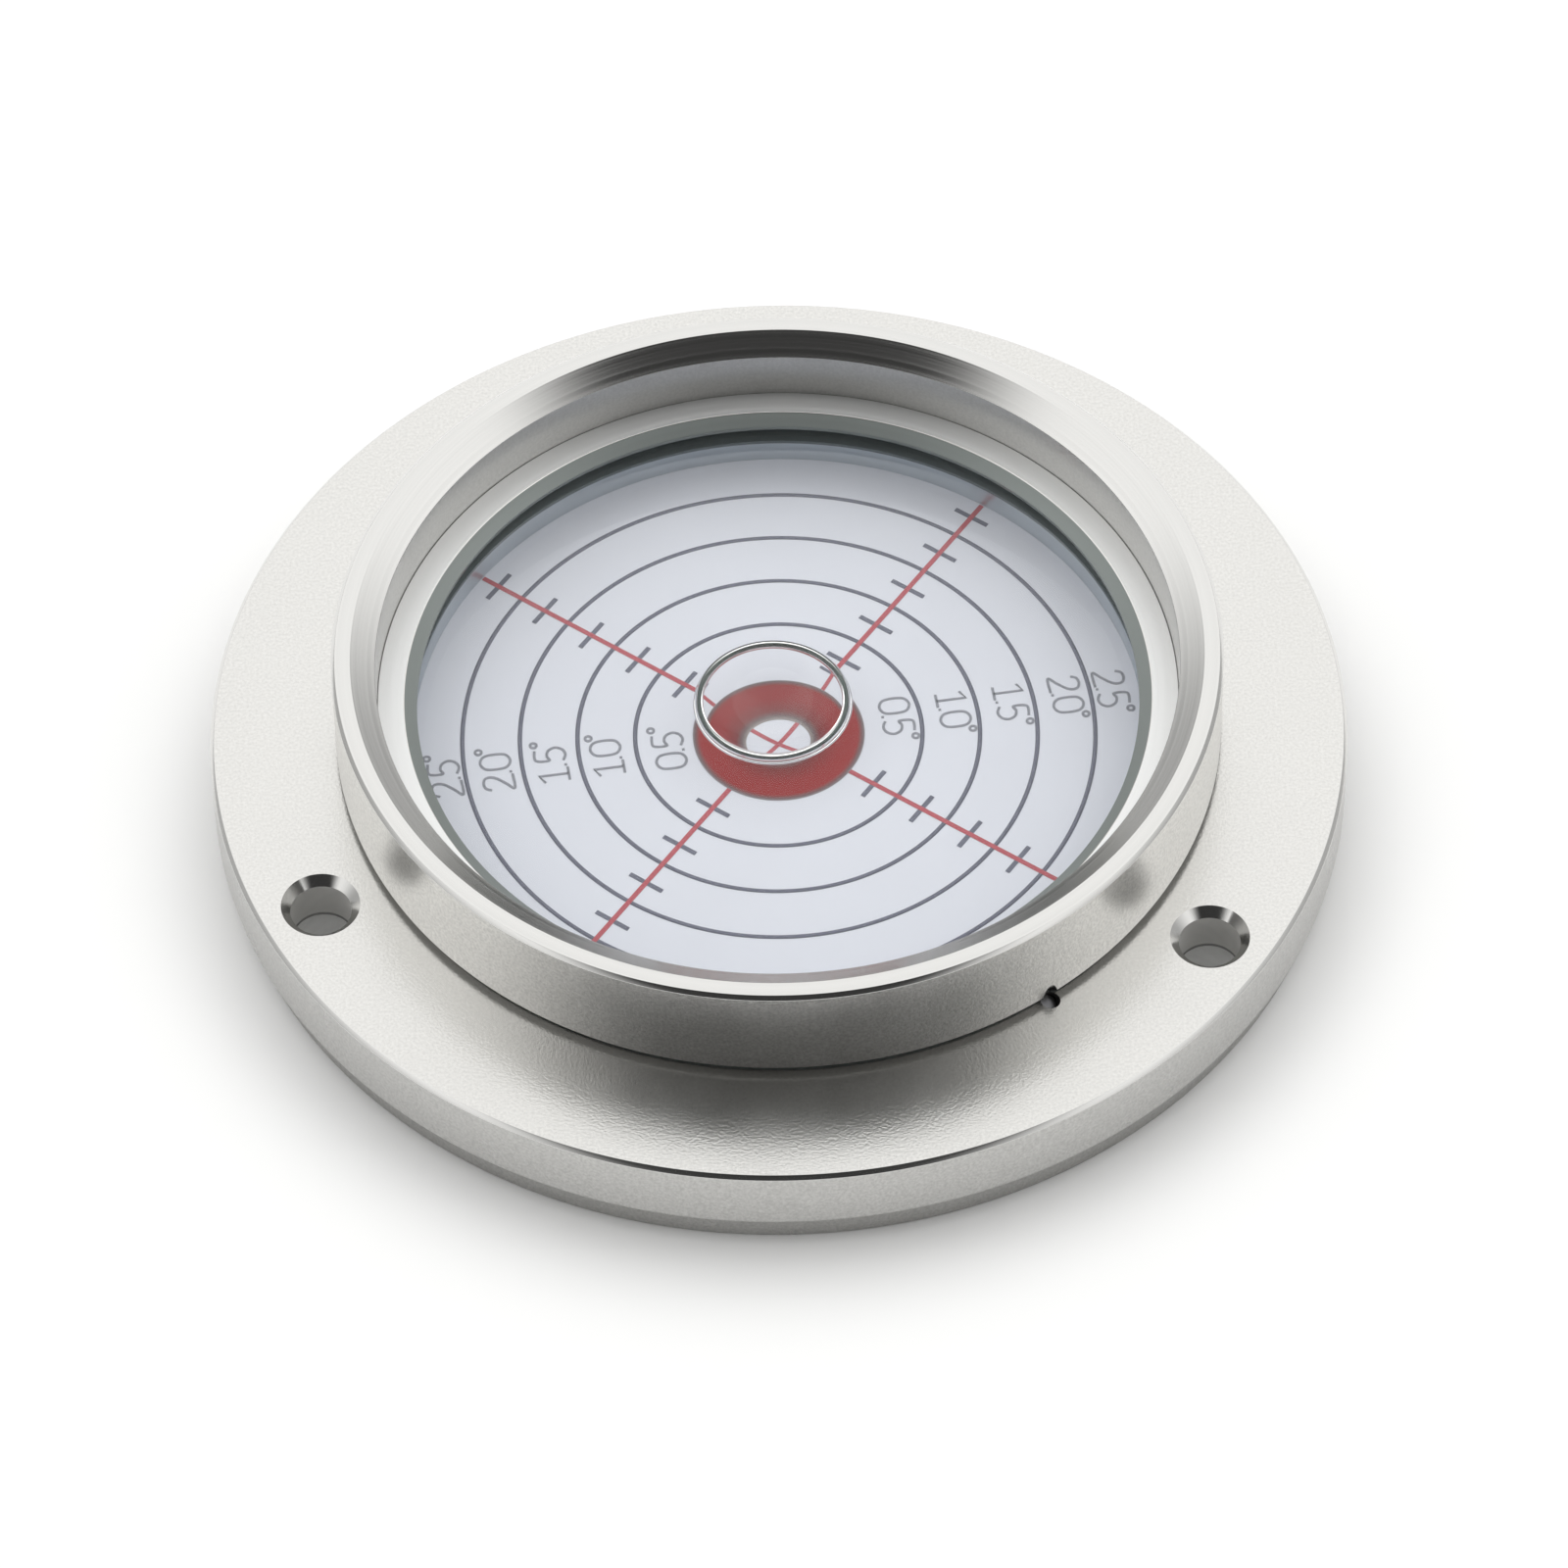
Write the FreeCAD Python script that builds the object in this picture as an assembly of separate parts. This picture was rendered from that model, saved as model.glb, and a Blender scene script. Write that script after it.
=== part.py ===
import FreeCAD, Part

import math
import os

from FreeCAD import Vector

# Flange-mounted bullseye level. All sizes are in millimetres.
# The frame stands on the underside's centre: +Z runs up through the glass, and X and Y lie in the base.

# Mounting flange, turned in one piece with a toe that is set back from its wall
FLANGE_WIDTH = 10.0
FLANGE_THICKNESS = 8.4
FLANGE_EDGE_BREAK = 0.3
TOE_HEIGHT = 2.6
TOE_INSET = 0.8
MOUNT_COUNT = 3
MOUNT_ANGLE = 86.0
MOUNT_HOLE_DIAMETER = 4.8
MOUNT_HOLE_CHAMFER = 0.7
MOUNT_HOLE_LAND = 4.2
MOUNT_POCKET_DIAMETER = 6.4

# Vial housing: the cup that holds the liquid, and the collar above the flange
COLLAR_DIAMETER = 70.0
COLLAR_HEIGHT = 9.4
COLLAR_WALL = 3.4
COLLAR_TOP_BREAK = 0.3
COLLAR_FOOT_BREAK = 0.5
RIM_FLAT = 1.2
FUNNEL_DEPTH = 1.25
SPIGOT_STEP = 1.0
HOUSING_LIFT = 0.3
HOUSING_FLOOR = 2.4
CHAMBER_DEPTH = 4.9
SEAT_WIDTH = 2.6

# Lock pin, drilled down and inwards across the seam between collar and flange
PIN_DIAMETER = 1.4
PIN_LENGTH = 2.6
PIN_HOLE_DEPTH = 3.5
PIN_ANGLE = 306.0
PIN_TILT = 25.0

# Glass, its seal and what holds it down
SEAL_THICKNESS = 0.5
WINDOW_EDGE_THICKNESS = 2.8
GASKET_THICKNESS = 0.4
RING_THICKNESS = 1.0
RING_BORE_FLARE = 0.5

# Scale: half a degree of tilt carries the bubble one ring further
SCALE_STEP = 4.57
SCALE_STEP_TILT = 0.5
SCALE_BORDER = 1.2
ZERO_RING_RADIUS = 6.83
ZERO_RING_HOLE = 2.75
SCALE_LINE_WIDTH = 0.35
CROSS_LINE_WIDTH = 0.4
CROSS_ANGLE = 54.5
TICK_LENGTH = 3.1
TICK_WIDTH = 0.4
PRINT_THICKNESS = 0.05

# Dial and the channel under it through which the chamber fills
DIAL_THICKNESS = 1.8
DIAL_CLEARANCE = 0.1
FEED_WIDTH = 2.4
FEED_DEPTH = 0.5

# Bubble at rest
BUBBLE_DIAMETER = 12.36
BUBBLE_HEIGHT = 2.4
BUBBLE_X = -0.2
BUBBLE_Y = 1.4

# Fill plug in the cup's floor
PLUG_INSET = 9.0
PLUG_ANGLE = 270.0
PLUG_SHANK_DIAMETER = 4.0
PLUG_HEAD_DIAMETER = 6.5
PLUG_HEAD_THICKNESS = 1.0
PLUG_SEAL_THICKNESS = 0.3

# Clearances
SPIGOT_CLEARANCE = 0.05
WINDOW_CLEARANCE = 0.2
RING_CLEARANCE = 0.1
PIN_CLEARANCE = 0.05
PLUG_CLEARANCE = 0.02
CUT_MARGIN = 1.0

# Radii that follow
collar_radius = COLLAR_DIAMETER / 2
flange_radius = collar_radius + FLANGE_WIDTH
toe_radius = flange_radius - TOE_INSET
mount_circle_radius = collar_radius + FLANGE_WIDTH / 2
spigot_radius = collar_radius - SPIGOT_STEP
flange_bore_radius = spigot_radius + SPIGOT_CLEARANCE
bore_radius = collar_radius - COLLAR_WALL
funnel_radius = collar_radius - COLLAR_TOP_BREAK - RIM_FLAT
chamber_radius = bore_radius - SEAT_WIDTH
window_radius = bore_radius - WINDOW_CLEARANCE
ring_radius = bore_radius - RING_CLEARANCE
dial_radius = chamber_radius - DIAL_CLEARANCE
plug_circle_radius = chamber_radius - PLUG_INSET
scale_steps = (dial_radius - SCALE_BORDER - ZERO_RING_RADIUS) / SCALE_STEP
bubble_radius = BUBBLE_DIAMETER / 2
glass_curve_radius = SCALE_STEP / math.tan(math.radians(SCALE_STEP_TILT))
window_rise = glass_curve_radius - math.sqrt(glass_curve_radius ** 2 - chamber_radius ** 2)

# Heights that follow, from the ground up
flange_top = FLANGE_THICKNESS
collar_top = flange_top + COLLAR_HEIGHT
housing_bottom = HOUSING_LIFT
chamber_floor = housing_bottom + HOUSING_FLOOR
dial_top = chamber_floor + DIAL_THICKNESS
print_top = dial_top + PRINT_THICKNESS
seat_height = chamber_floor + CHAMBER_DEPTH
window_bottom = seat_height + SEAL_THICKNESS
window_top = window_bottom + WINDOW_EDGE_THICKNESS
window_crown = window_bottom + window_rise
gasket_top = window_top + GASKET_THICKNESS
ring_top = gasket_top + RING_THICKNESS

AXIS = Vector(0, 0, 1)
ACROSS = Vector(1, 0, 0)
CENTRE = Vector(0, 0, 0)


def turned(points):
    """Solid of revolution from a closed outline of (radius, height) points."""
    corners = [Vector(radius, 0, height) for radius, height in points]
    outline = Part.makePolygon(corners + corners[:1])
    return Part.Face(outline).revolve(CENTRE, AXIS, 360)


def drum(radius, low, high):
    """Upright cylinder about the axis."""
    return Part.makeCylinder(radius, high - low, Vector(0, 0, low))


def flat_ring(inner, outer, low, high):
    """Flat ring about the axis."""
    return turned([(inner, low), (outer, low), (outer, high), (inner, high)])


def on_circle(shape, radius, count, first_angle):
    """Copies of a shape, evenly spaced round a circle."""
    placed = []
    for index in range(count):
        copy = shape.copy()
        copy.translate(Vector(radius, 0, 0))
        copy.rotate(CENTRE, AXIS, first_angle + 360 / count * index)
        placed.append(copy)
    return placed


def cut_all(shape, tools):
    """Shape with each tool taken out of it."""
    return shape.cut(Part.makeCompound(tools))


def mount_holes():
    """Through holes with a top chamfer, above a wider pocket for a levelling spring."""
    radius = MOUNT_HOLE_DIAMETER / 2
    chamfer_top = radius + MOUNT_HOLE_CHAMFER + CUT_MARGIN
    pocket_radius = MOUNT_POCKET_DIAMETER / 2
    pocket_top = flange_top - MOUNT_HOLE_LAND
    hole = turned([
        (0, -CUT_MARGIN),
        (pocket_radius, -CUT_MARGIN),
        (pocket_radius, pocket_top),
        (radius, pocket_top),
        (radius, flange_top - MOUNT_HOLE_CHAMFER),
        (chamfer_top, flange_top + CUT_MARGIN),
        (0, flange_top + CUT_MARGIN),
    ])
    return on_circle(hole, mount_circle_radius, MOUNT_COUNT, MOUNT_ANGLE)


def pin_place():
    """Start of the lock pin's hole on the seam, and its direction, down and inwards."""
    angle = math.radians(PIN_ANGLE)
    tilt = math.radians(PIN_TILT)
    outwards = Vector(math.cos(angle), math.sin(angle), 0)
    start = outwards * collar_radius + Vector(0, 0, flange_top)
    direction = -outwards * math.sin(tilt) - AXIS * math.cos(tilt)
    return start, direction


def pin_hole():
    """Inclined hole across the seam."""
    start, direction = pin_place()
    reach = COLLAR_HEIGHT
    radius = PIN_DIAMETER / 2 + PIN_CLEARANCE
    return Part.makeCylinder(radius, reach + PIN_HOLE_DEPTH, start - direction * reach, direction)


def mounting_flange():
    """Turned ring with three screw holes, stepped in at its foot."""
    edge = FLANGE_EDGE_BREAK
    body = turned([
        (flange_bore_radius, 0),
        (toe_radius, 0),
        (toe_radius, TOE_HEIGHT),
        (flange_radius, TOE_HEIGHT),
        (flange_radius, flange_top - edge),
        (flange_radius - edge, flange_top),
        (flange_bore_radius, flange_top),
    ])
    return cut_all(body, mount_holes() + [pin_hole()])


def plug_holes():
    """Stepped hole in the cup's floor, open below for the plug's head."""
    shank_radius = PLUG_SHANK_DIAMETER / 2 + PLUG_CLEARANCE
    head_radius = PLUG_HEAD_DIAMETER / 2 + PLUG_CLEARANCE
    step = housing_bottom + PLUG_HEAD_THICKNESS + PLUG_SEAL_THICKNESS
    hole = turned([
        (0, housing_bottom - CUT_MARGIN),
        (head_radius, housing_bottom - CUT_MARGIN),
        (head_radius, step),
        (shank_radius, step),
        (shank_radius, chamber_floor + CUT_MARGIN),
        (0, chamber_floor + CUT_MARGIN),
    ])
    return on_circle(hole, plug_circle_radius, 1, PLUG_ANGLE)


def vial_housing():
    """Cup for the liquid, with the glass's seat, and the collar with its funnel mouth."""
    body = turned([
        (0, housing_bottom),
        (spigot_radius, housing_bottom),
        (spigot_radius, flange_top),
        (collar_radius - COLLAR_FOOT_BREAK, flange_top),
        (collar_radius, flange_top + COLLAR_FOOT_BREAK),
        (collar_radius, collar_top - COLLAR_TOP_BREAK),
        (collar_radius - COLLAR_TOP_BREAK, collar_top),
        (funnel_radius, collar_top),
        (bore_radius, collar_top - FUNNEL_DEPTH),
        (bore_radius, seat_height),
        (chamber_radius, seat_height),
        (chamber_radius, chamber_floor),
        (0, chamber_floor),
    ])
    return cut_all(body, plug_holes() + [pin_hole()])


def housing_lock_pin():
    """Pin that stops the housing from turning in the flange, driven below the surface."""
    start, direction = pin_place()
    top = start + direction * (PIN_HOLE_DEPTH - PIN_LENGTH)
    return Part.makeCylinder(PIN_DIAMETER / 2, PIN_LENGTH, top, direction)


def retaining_ring():
    """Ring that holds the glass down, with a bore that opens upwards."""
    return turned([
        (chamber_radius, gasket_top),
        (ring_radius, gasket_top),
        (ring_radius, ring_top),
        (chamber_radius + RING_BORE_FLARE, ring_top),
    ])


def retaining_ring_gasket():
    """Thin gasket between the retaining ring and the glass."""
    return flat_ring(chamber_radius, window_radius, window_top, gasket_top)


def window_seal():
    """Seal between the glass and its seat."""
    return flat_ring(chamber_radius, window_radius, seat_height, window_bottom)


def ground_sphere():
    """Sphere that the underside of the glass is ground to."""
    centre = Vector(0, 0, window_crown - glass_curve_radius)
    return Part.makeSphere(glass_curve_radius, centre, ACROSS)


def glass_window():
    """Flat-topped glass whose concave underside gives the level its sensitivity."""
    return drum(window_radius, window_bottom, window_top).cut(ground_sphere())


def bubble():
    """Space of the bubble: a shallow cap of a sphere, pressed flat by the glass."""
    radius = (bubble_radius ** 2 + BUBBLE_HEIGHT ** 2) / (2 * BUBBLE_HEIGHT)
    centre = Vector(BUBBLE_X, BUBBLE_Y, window_crown - BUBBLE_HEIGHT + radius)
    return Part.makeSphere(radius, centre, ACROSS)


def spirit_fill():
    """Liquid between dial and glass, with the bubble's space in its top."""
    chamber = drum(chamber_radius, print_top, window_crown + CUT_MARGIN)
    return chamber.common(ground_sphere()).cut(bubble())


def cross_bars():
    """Two crossed bars over the whole dial, as thick as the print."""
    bars = []
    for turn in (0, 90):
        bar = Part.makeBox(
            2 * dial_radius,
            CROSS_LINE_WIDTH,
            PRINT_THICKNESS,
            Vector(-dial_radius, -CROSS_LINE_WIDTH / 2, dial_top),
        )
        bar.rotate(CENTRE, AXIS, CROSS_ANGLE + turn)
        bars.append(bar)
    return bars[0].fuse(bars[1]).removeSplitter()


def centre_ring():
    """Red ring that the bubble sits over when the base is level."""
    return flat_ring(ZERO_RING_HOLE, ZERO_RING_RADIUS, dial_top, print_top)


def scale_ticks():
    """Marks half way between the rings, on both sides of each cross line."""
    ticks = []
    for index in range(int(scale_steps + 0.5)):
        middle = ZERO_RING_RADIUS + SCALE_STEP * (index + 0.5)
        tick = Part.makeBox(
            TICK_WIDTH,
            TICK_LENGTH,
            PRINT_THICKNESS,
            Vector(-TICK_WIDTH / 2, -TICK_LENGTH / 2, dial_top),
        )
        ticks += on_circle(tick, middle, 4, CROSS_ANGLE)
    return Part.makeCompound(ticks).cut(cross_bars())


def scale_rings():
    """Concentric lines, one for each half degree, broken by the cross lines."""
    rings = []
    for index in range(1, int(scale_steps) + 1):
        middle = ZERO_RING_RADIUS + SCALE_STEP * index
        half = SCALE_LINE_WIDTH / 2
        rings.append(flat_ring(middle - half, middle + half, dial_top, print_top))
    return Part.makeCompound(rings).cut(cross_bars())


def cross_lines():
    """Red cross to the dial's edge, seen again inside the centre ring."""
    on_dial = drum(dial_radius, dial_top, print_top).common(cross_bars())
    return on_dial.cut(flat_ring(ZERO_RING_HOLE, ZERO_RING_RADIUS, dial_top, print_top))


def dial_plate():
    """White disc that carries the printed scale, with a feed channel below."""
    start = plug_circle_radius - PLUG_SHANK_DIAMETER / 2
    channel = Part.makeBox(
        dial_radius - start + CUT_MARGIN,
        FEED_WIDTH,
        FEED_DEPTH,
        Vector(start, -FEED_WIDTH / 2, chamber_floor),
    )
    channel.rotate(CENTRE, AXIS, PLUG_ANGLE)
    return drum(dial_radius, chamber_floor, dial_top).cut(channel)


def fill_plug():
    """Plug with a thin head, pressed into the cup's floor from below."""
    plug = turned([
        (0, housing_bottom),
        (PLUG_HEAD_DIAMETER / 2, housing_bottom),
        (PLUG_HEAD_DIAMETER / 2, housing_bottom + PLUG_HEAD_THICKNESS),
        (PLUG_SHANK_DIAMETER / 2, housing_bottom + PLUG_HEAD_THICKNESS),
        (PLUG_SHANK_DIAMETER / 2, chamber_floor),
        (0, chamber_floor),
    ])
    return on_circle(plug, plug_circle_radius, 1, PLUG_ANGLE)[0]


def fill_plug_seal():
    """Washer between the plug's head and the step in the floor."""
    low = housing_bottom + PLUG_HEAD_THICKNESS
    inner = PLUG_SHANK_DIAMETER / 2 + PLUG_CLEARANCE
    washer = flat_ring(inner, PLUG_HEAD_DIAMETER / 2, low, low + PLUG_SEAL_THICKNESS)
    return on_circle(washer, plug_circle_radius, 1, PLUG_ANGLE)[0]


def build():
    """All pieces by name."""
    return {
        "mounting_flange": mounting_flange(),
        "vial_housing": vial_housing(),
        "housing_lock_pin": housing_lock_pin(),
        "retaining_ring": retaining_ring(),
        "retaining_ring_gasket": retaining_ring_gasket(),
        "glass_window": glass_window(),
        "window_seal": window_seal(),
        "spirit_fill": spirit_fill(),
        "dial_plate": dial_plate(),
        "scale_rings": scale_rings(),
        "scale_ticks": scale_ticks(),
        "cross_lines": cross_lines(),
        "centre_ring": centre_ring(),
        "fill_plug": fill_plug(),
        "fill_plug_seal": fill_plug_seal(),
    }


os.makedirs("parts", exist_ok=True)
for name, shape in build().items():
    shape.exportStep(f"parts/{name}.step")
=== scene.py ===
"""Bullseye level on a screw flange: the finish of every piece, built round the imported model."""
import math

import bmesh
import bpy
from bpy.props import FloatProperty, FloatVectorProperty, IntProperty, PointerProperty
from bpy.types import NodeSocket, Operator, Panel, PropertyGroup
from mathutils import Matrix, Vector


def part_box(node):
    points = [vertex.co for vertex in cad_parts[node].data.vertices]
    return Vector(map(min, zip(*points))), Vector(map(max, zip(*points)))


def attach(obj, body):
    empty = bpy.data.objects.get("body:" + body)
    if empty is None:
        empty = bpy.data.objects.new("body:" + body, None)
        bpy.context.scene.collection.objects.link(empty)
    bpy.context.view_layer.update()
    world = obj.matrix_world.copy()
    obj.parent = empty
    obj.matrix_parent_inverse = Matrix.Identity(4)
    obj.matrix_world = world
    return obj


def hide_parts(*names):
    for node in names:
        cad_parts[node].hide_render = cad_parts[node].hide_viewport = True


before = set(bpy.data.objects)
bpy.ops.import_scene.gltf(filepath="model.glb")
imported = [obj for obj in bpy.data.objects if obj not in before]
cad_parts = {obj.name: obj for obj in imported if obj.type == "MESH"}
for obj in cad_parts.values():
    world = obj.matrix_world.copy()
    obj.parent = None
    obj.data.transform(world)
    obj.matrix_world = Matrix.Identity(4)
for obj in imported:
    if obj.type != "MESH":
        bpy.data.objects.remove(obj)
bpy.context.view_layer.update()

bl_info = {
    "name": "Bullseye Level",
    "version": (1, 0, 0),
    "blender": (4, 5, 0),
    "location": "3D View > Sidebar > Level",
    "description": "Builds a flange-mounted bullseye level with its scale, liquid and bubble",
    "category": "Object",
}

MM = 0.001
BODY = "root"

# Steps round a turn: of the big turned pieces, of the bubble and the centre ring, and of the screw holes
TURNING_STEPS = 384
FINE_STEPS = 192
HOLE_STEPS = 96
# Steps along an outline: of a rounded corner, of the lens's curve, of the bubble's dome and of its rim
ROUNDING_STEPS = 5
LENS_STEPS = 16
DOME_STEPS = 40
RIM_STEPS = 20
# Steps round a printed ring
RING_SEGMENTS = 288

# Angle between two faces from which their edge stays sharp
SHARP_ANGLE = math.radians(32)
# Distance below which two points become one, and radius below which a point lies on the axis
WELD_DISTANCE = 0.0005 * MM
AXIS_REACH = 1e-7
# Rounding of the fine cut edges and of the edges underneath
SOFT_EDGE = 0.06 * MM
UNDER_EDGE = 0.2 * MM
# How far a drill goes on past the faces that it opens
DRILL_REACH = 1 * MM


def outer_radius(node):
    """Outer radius of a turned piece of the frame."""
    low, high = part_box(node)
    return (high.x - low.x) / 2


def foot(node):
    """Lowest height of a piece of the frame."""
    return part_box(node)[0].z


def head(node):
    """Highest height of a piece of the frame."""
    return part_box(node)[1].z


FLANGE_TOP = head("mounting_flange")
DIAL_TOP = head("dial_plate")
PRINT_TOP = head("scale_rings")


# Sizes and colours that a user would change


def length_of(name, description, millimetres):
    """Length in the panel, given in millimetres."""
    return FloatProperty(name=name, description=description, default=millimetres * MM, unit="LENGTH")


def angle_of(name, description, degrees):
    """Angle in the panel, given in degrees."""
    return FloatProperty(name=name, description=description, default=math.radians(degrees), unit="ROTATION")


def place_of(name, description, *millimetres):
    """Point of a level plane in the panel, given in millimetres."""
    spot = tuple(part * MM for part in millimetres)
    return FloatVectorProperty(
        name=name, description=description, default=spot, size=2, subtype="XYZ", unit="LENGTH")


def colour_of(name, description, *shades):
    """Colour in the panel."""
    return FloatVectorProperty(
        name=name, description=description, default=shades, size=3, min=0, max=1, subtype="COLOR")


def factor_of(name, description, amount):
    """Plain factor in the panel."""
    return FloatProperty(name=name, description=description, default=amount)


def count_of(name, description, amount):
    """Whole number in the panel."""
    return IntProperty(name=name, description=description, default=amount)


class FlangeSizes(PropertyGroup):
    """Sizes of the mounting flange."""

    bore: length_of("Bore", "Radius of the bore that takes the housing", 34.05)
    toe_inset: length_of("Toe inset", "How far the toe is set back from the wall", 0.8)
    toe_height: length_of("Toe height", "Height of the toe", 2.6)
    edge_cut: length_of("Edge cut", "Width of the bright cut on the top edge", 0.3)
    hole_circle: length_of("Hole circle", "Radius of the circle of screw holes", 40.0)
    hole_count: count_of("Holes", "Number of screw holes", 3)
    hole_angle: angle_of("Hole angle", "Direction of the first screw hole", 86)
    hole_radius: length_of("Hole radius", "Radius of a screw hole", 2.4)
    hole_cut: length_of("Hole cut", "Width of the bright cut round a screw hole", 0.7)
    hole_land: length_of("Hole land", "Depth of the narrow part of a screw hole", 4.2)
    pocket_radius: length_of("Pocket radius", "Radius of the spring pocket below a screw hole", 3.2)


class HousingSizes(PropertyGroup):
    """Sizes of the vial housing and its collar."""

    collar_wall: length_of("Collar wall", "Wall thickness of the collar", 3.4)
    spigot_step: length_of("Spigot step", "Step between collar and spigot", 1.0)
    foot_cut: length_of("Foot cut", "Width of the cut at the collar's foot", 0.5)
    seam: length_of("Seam", "Dark gap between the collar's foot and the flange", 0.28)
    top_cut: length_of("Top cut", "Width of the cut on the rim's outer edge", 0.3)
    rim_flat: length_of("Rim flat", "Width of the flat rim", 1.2)
    funnel_depth: length_of("Funnel depth", "Depth of the polished funnel", 1.25)
    seat_width: length_of("Seat width", "Width of the glass's seat", 2.6)
    pin_angle: angle_of("Pin angle", "Direction of the lock pin", 306)
    pin_tilt: angle_of("Pin tilt", "Tilt of the lock pin from upright", 25)
    pin_radius: length_of("Pin radius", "Radius of the lock pin's hole", 0.75)
    pin_depth: length_of("Pin depth", "Depth of the lock pin's hole", 3.5)


class OpticSizes(PropertyGroup):
    """Sizes of the glass, the liquid and the bubble."""

    ground_radius: length_of("Ground radius", "Radius that the glass's underside is ground to", 523.66)
    edge_round: length_of("Edge round", "Rounding of the glass's edges", 0.15)
    film: length_of("Film", "Space between glass and liquid", 0.01)
    bubble_radius: length_of("Bubble radius", "Radius of the bubble", 6.18)
    bubble_depth: length_of("Bubble depth", "Depth of the bubble below the glass", 4.0)
    bubble_flank: length_of("Bubble flank", "Depth of the bubble's widest part below the glass", 0.9)
    bubble_edge: length_of("Bubble edge", "Rounding of the liquid where the bubble meets the glass", 0.33)
    bubble_place: place_of("Bubble place", "Where the bubble rests on the scale", -0.42, 1.4)


class ScaleSizes(PropertyGroup):
    """Sizes of the printed scale."""

    zero_radius: length_of("Zero ring", "Outer radius of the red centre ring", 6.83)
    zero_hole: length_of("Zero hole", "Radius of the hole in the centre ring", 2.75)
    step: length_of("Step", "Distance between two rings", 4.57)
    ring_count: count_of("Rings", "Number of rings", 4)
    line_width: length_of("Line width", "Width of a ring's line", 0.35)
    cross_angle: angle_of("Cross angle", "Direction of the first arm of the cross", 54.5)
    tick_length: length_of("Tick length", "Length of a tick", 3.1)
    tick_width: length_of("Tick width", "Width of a tick", 0.4)
    numeral_height: length_of("Numeral height", "Height of a numeral", 2.4)
    numeral_stroke: length_of("Numeral stroke", "Width of a numeral's stroke", 0.22)
    numeral_angle: angle_of("Numeral angle", "Direction of the right-hand row of numerals", 8)


class FinishColours(PropertyGroup):
    """Colours of the finishes."""

    aluminium: colour_of("Aluminium", "Blasted and anodised aluminium", 0.745, 0.738, 0.718)
    bright_cut: colour_of("Bright cut", "Aluminium cut after anodising", 0.74, 0.735, 0.72)
    dial: colour_of("Dial", "White of the dial", 0.66, 0.67, 0.735)
    print_grey: colour_of("Grey print", "Grey of rings and ticks", 0.13, 0.135, 0.18)
    print_red: colour_of("Red print", "Red of the cross", 0.42, 0.08, 0.10)
    centre_red: colour_of("Centre red", "Red of the centre ring", 0.275, 0.005, 0.006)
    numeral_grey: colour_of("Numeral grey", "Paler grey of the numerals", 0.235, 0.24, 0.275)
    glass: colour_of("Glass", "Tint of the glass", 0.992, 0.998, 0.995)
    liquid: colour_of("Liquid", "Tint of the liquid", 0.996, 0.998, 1.0)


class StudioSettings(PropertyGroup):
    """Camera, light tent and floor."""

    camera_distance: length_of("Camera distance", "Distance from the aimed point", 700)
    camera_elevation: angle_of("Camera elevation", "Height angle of the camera", 50.66)
    camera_roll: angle_of("Camera roll", "Turn of the camera about its own axis", -1.10)
    camera_lens: factor_of("Lens", "Focal length in millimetres for a 36 mm sensor", 204.12)
    aim: place_of("Aim", "Point of the flange's top that the camera looks at", 0.34, -6.25)
    tent_strength: factor_of("Tent strength", "Brightness of the white light tent", 1.15)
    gap_strength: factor_of("Gap strength", "Brightness of the tent's opening at the camera", 0.045)
    gap_elevation: angle_of("Gap elevation", "Height angle of the tent's opening", 56)
    gap_size: angle_of("Gap size", "Half angle of the tent's opening", 38)
    gap_softness: angle_of("Gap softness", "Angle over which the opening's edge fades", 11)
    skirt_low: angle_of("Skirt's foot", "Height angle below which the tent is dimmest", 10)
    skirt_high: angle_of("Skirt's top", "Height angle above which the tent is at full brightness", 36)
    skirt_share: factor_of("Skirt's share", "Share of the tent's brightness at its foot", 0.42)
    lamp_strength: factor_of("Lamp strength", "Brightness of the overhead lamp", 1.4)
    lamp_tilt: angle_of("Lamp tilt", "Lean of the overhead lamp towards the back", 9)
    lamp_spread: angle_of("Lamp spread", "Width of the overhead lamp as seen from the floor", 84)
    floor_size: length_of("Floor size", "Width of the floor", 6000)
    floor_drop: length_of("Floor drop", "Space between the floor and the level", 0.02)


# Helpers for meshes


def corner(radius, height, finish, rounding=0.0, edge=None):
    """One corner of a turned outline, with the finish of the wall that leaves it."""
    return radius, height, finish, rounding, edge


def even(finish, *points):
    """Outline of sharp corners whose walls all have one finish."""
    return [corner(radius, height, finish) for radius, height in points]


def rounded(corners):
    """Outline points (radius, height, finish) with the corners rounded."""
    points = []
    for index, (radius, height, finish, rounding, edge) in enumerate(corners):
        if rounding == 0:
            points.append((radius, height, finish))
            continue
        here = Vector((radius, height))
        back = (Vector(corners[index - 1][:2]) - here).normalized()
        ahead = (Vector(corners[(index + 1) % len(corners)][:2]) - here).normalized()
        half = back.angle(ahead) / 2
        centre = here + (back + ahead).normalized() * (rounding / math.sin(half))
        start = here + back * (rounding / math.tan(half)) - centre
        end = here + ahead * (rounding / math.tan(half)) - centre
        first = math.atan2(start.y, start.x)
        sweep = (math.atan2(end.y, end.x) - first + math.pi) % (2 * math.pi) - math.pi
        for step in range(ROUNDING_STEPS + 1):
            angle = first + sweep * step / ROUNDING_STEPS
            across = centre.x + rounding * math.cos(angle)
            upwards = centre.y + rounding * math.sin(angle)
            leaving = finish if step == ROUNDING_STEPS else (edge or finish)
            points.append((across, upwards, leaving))
    return points


def turned_places(circle, count, first_angle=0.0):
    """Points evenly spaced round a circle."""
    places = []
    for index in range(count):
        angle = first_angle + 2 * math.pi * index / count
        places.append((circle * math.cos(angle), circle * math.sin(angle)))
    return places


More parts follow.
